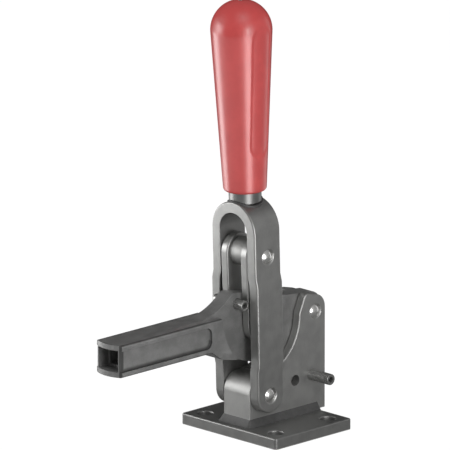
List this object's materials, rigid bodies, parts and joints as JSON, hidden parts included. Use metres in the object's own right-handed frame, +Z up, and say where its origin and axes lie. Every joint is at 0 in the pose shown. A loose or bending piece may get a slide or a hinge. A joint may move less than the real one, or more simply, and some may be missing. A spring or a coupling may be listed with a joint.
{
  "type": "toggle clamp",
  "caption": "Vertical-handle toggle clamp: a red-gripped strap handle works a link that locks a forged holding arm over a bolted flanged base.",
  "frame": {"origin": "centre of the four base bolt holes, on the underside of the base plate", "axes": "+Z up along the bolts, +X forward along the clamping arm, +Y to the clamp's left"},
  "size_m": [0.1645, 0.075, 0.2518],
  "materials": {
    "dark_steel": "dark satin finish on cut and bent plate",
    "dark_forging": "dark oxide on a fine-blasted forging",
    "bright_steel": "ground pin steel",
    "spring_steel": "drawn tube with polished ends",
    "weld_metal": "weld bead under the dark finish",
    "red_plastic": "moulded, soft gloss"
  },
  "bodies": {
    "base": {"base_plate": "dark_steel", "side_plate_left": "dark_steel", "side_plate_right": "dark_steel", "body_block": "dark_steel", "foot_weld": "weld_metal", "arm_pivot_pin_left": "bright_steel", "arm_pivot_pin_right": "bright_steel", "handle_pivot_pin": "bright_steel", "handle_stop_pin": "spring_steel"},
    "handle": {"handle_strap": "dark_steel", "handle_shank": "dark_steel", "shank_weld": "weld_metal", "grip": "red_plastic", "link_top_pin": "bright_steel"},
    "link": {"link_plate_left": "dark_steel", "link_plate_right": "dark_steel", "link_spacer": "bright_steel", "toggle_pin": "bright_steel"},
    "arm": {"clamp_arm": "dark_forging", "arm_pivot_bush": "bright_steel", "arm_pivot_pin_middle": "bright_steel", "arm_toggle_bush": "bright_steel", "arm_stop_pin": "spring_steel"}
  },
  "joints": [
    {"name": "handle_pivot", "type": "hinge", "parent": "base", "child": "handle", "pos_m": [0.01335, 0, 0.02415], "axis": [0, -1, 0], "range_deg": [0, 66.5]},
    {"name": "link_pivot", "type": "hinge", "parent": "handle", "child": "link", "pos_m": [0.01589, 0, 0.10501], "axis": [0, -1, 0], "range_deg": [0, 105.69]},
    {"name": "arm_pivot", "type": "hinge", "parent": "link", "child": "arm", "pos_m": [0.01405, 0, 0.06455], "axis": [0, 1, 0], "range_deg": [0, 49.33]}
  ],
  "couplings": [
    {"joint": "link_pivot", "follows": "handle_pivot", "ratio": 1.5886},
    {"joint": "arm_pivot", "follows": "handle_pivot", "ratio": 0.74106}
  ]
}
